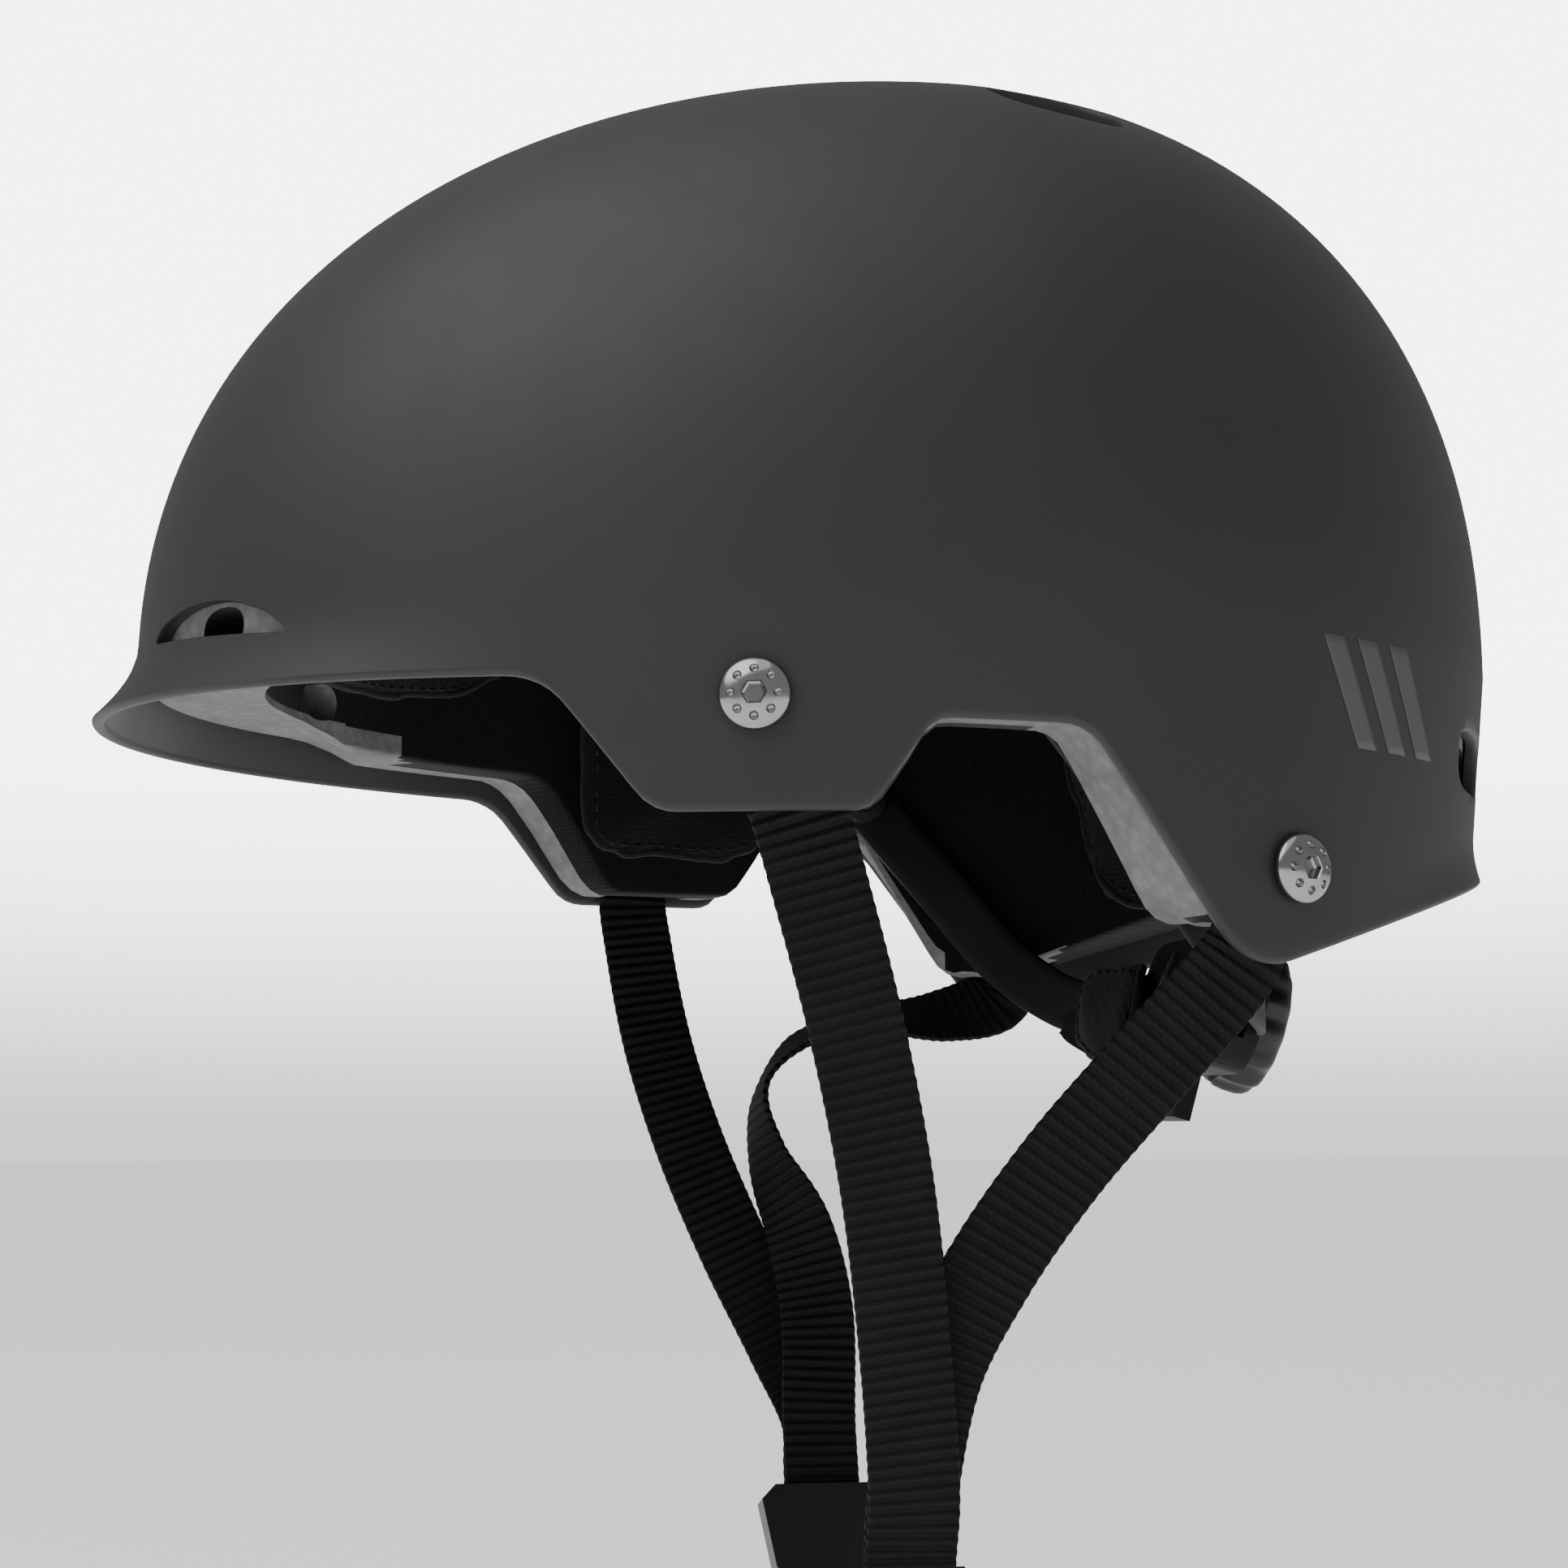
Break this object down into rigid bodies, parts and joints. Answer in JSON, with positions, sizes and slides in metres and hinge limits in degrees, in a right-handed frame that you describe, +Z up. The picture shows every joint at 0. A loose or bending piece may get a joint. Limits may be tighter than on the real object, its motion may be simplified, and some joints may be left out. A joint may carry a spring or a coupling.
{
  "type": "water helmet",
  "caption": "Full-cut water-sports helmet with a short brim, ear flaps, brow slots, foam liner, dial-adjusted nape cradle and a webbing chin harness with a side-release buckle.",
  "frame": {"origin": "middle of the head opening, level with the lower edges of the two ear flaps", "axes": "+Z up towards the crown, the brim and face towards -Y, the wearer's left towards +X"},
  "size_m": [0.212, 0.2733, 0.3345],
  "materials": {
    "shell": "satin-matt moulded black plastic",
    "foam": "light grey closed-cell foam",
    "padding": "black brushed knit over foam",
    "hook": "black hook tape",
    "screw": "polished domed head",
    "fixing": "plain steel",
    "webbing": "ribbed black polyester webbing",
    "buckle": "black acetal, lightly textured",
    "keeper": "black rubber",
    "cradle": "black flexible plastic",
    "dial": "dark grey plastic"
  },
  "bodies": {
    "helmet": {"outer_shell": "shell", "foam_liner": "foam", "brow_pad": "padding", "rear_pad": "padding", "crown_pad": "padding", "temple_pad_left": "padding", "temple_pad_right": "padding", "crown_patch": "hook", "temple_patch_left": "hook", "temple_patch_right": "hook", "brow_patch_left": "hook", "brow_patch_right": "hook", "rear_patch_left": "hook", "rear_patch_right": "hook", "front_screw_left": "screw", "front_screw_right": "screw", "rear_screw_left": "screw", "rear_screw_right": "screw", "front_washer_left": "fixing", "front_washer_right": "fixing", "front_nut_left": "fixing", "front_nut_right": "fixing", "rear_washer_left": "fixing", "rear_washer_right": "fixing", "rear_nut_left": "fixing", "rear_nut_right": "fixing", "side_strap_left": "webbing", "front_strap_right": "webbing", "rear_strap_right": "webbing", "buckle_socket": "buckle", "buckle_plug": "buckle", "cradle_arm_left": "cradle", "cradle_arm_right": "cradle", "arm_anchor_left": "cradle", "arm_anchor_right": "cradle"},
    "fit_cradle": {"cradle_yoke": "cradle", "cradle_housing": "cradle", "nape_pad_left": "padding", "nape_pad_right": "padding"},
    "dial": {"dial_knob": "dial", "dial_pinion": "fixing"},
    "left_rack": {"rack_left": "cradle"},
    "right_rack": {"rack_right": "cradle"},
    "front_prong": {"buckle_prong_front": "buckle"},
    "rear_prong": {"buckle_prong_rear": "buckle"},
    "left_divider": {"strap_divider_left": "buckle"},
    "right_divider": {"strap_divider_right": "buckle"},
    "keeper": {"strap_keeper": "keeper"}
  },
  "joints": [
    {"name": "cradle_draw", "type": "slide", "parent": "helmet", "child": "fit_cradle", "axis": [0, -1, 0], "range_m": [0, 0.0099]},
    {"name": "dial_turn", "type": "hinge", "parent": "fit_cradle", "child": "dial", "pos_m": [0, 0.0755, -0.0305], "axis": [0, -0.9627, 0.2706], "range_deg": [0, 270]},
    {"name": "rack_left_slide", "type": "slide", "parent": "fit_cradle", "child": "left_rack", "axis": [-1, 0, 0], "range_m": [0, 0.01415]},
    {"name": "rack_right_slide", "type": "slide", "parent": "fit_cradle", "child": "right_rack", "axis": [1, 0, 0], "range_m": [0, 0.01415]},
    {"name": "prong_front_squeeze", "type": "hinge", "parent": "helmet", "child": "front_prong", "pos_m": [-0.006, -0.016, -0.176], "axis": [0, 0, 1], "range_deg": [0, 12], "stiffness_Nm_per_rad": 0.05},
    {"name": "prong_rear_squeeze", "type": "hinge", "parent": "helmet", "child": "rear_prong", "pos_m": [-0.006, -0.001, -0.176], "axis": [0, 0, -1], "range_deg": [0, 12], "stiffness_Nm_per_rad": 0.05},
    {"name": "divider_left_slide", "type": "slide", "parent": "helmet", "child": "left_divider", "axis": [-0.309, 0, -0.9511], "range_m": [-0.004, 0.004]},
    {"name": "divider_right_slide", "type": "slide", "parent": "helmet", "child": "right_divider", "axis": [0.309, 0, -0.9511], "range_m": [-0.004, 0.004]},
    {"name": "keeper_slide", "type": "slide", "parent": "helmet", "child": "keeper", "axis": [0.309, 0, -0.9511], "range_m": [-0.0035, 0.0035]}
  ],
  "couplings": [
    {"joint": "dial_turn", "follows": "cradle_draw", "rad_per_m": 475.99},
    {"joint": "rack_left_slide", "follows": "cradle_draw", "ratio": 1.428},
    {"joint": "rack_right_slide", "follows": "cradle_draw", "ratio": 1.428},
    {"joint": "prong_rear_squeeze", "follows": "prong_front_squeeze", "ratio": 1}
  ]
}
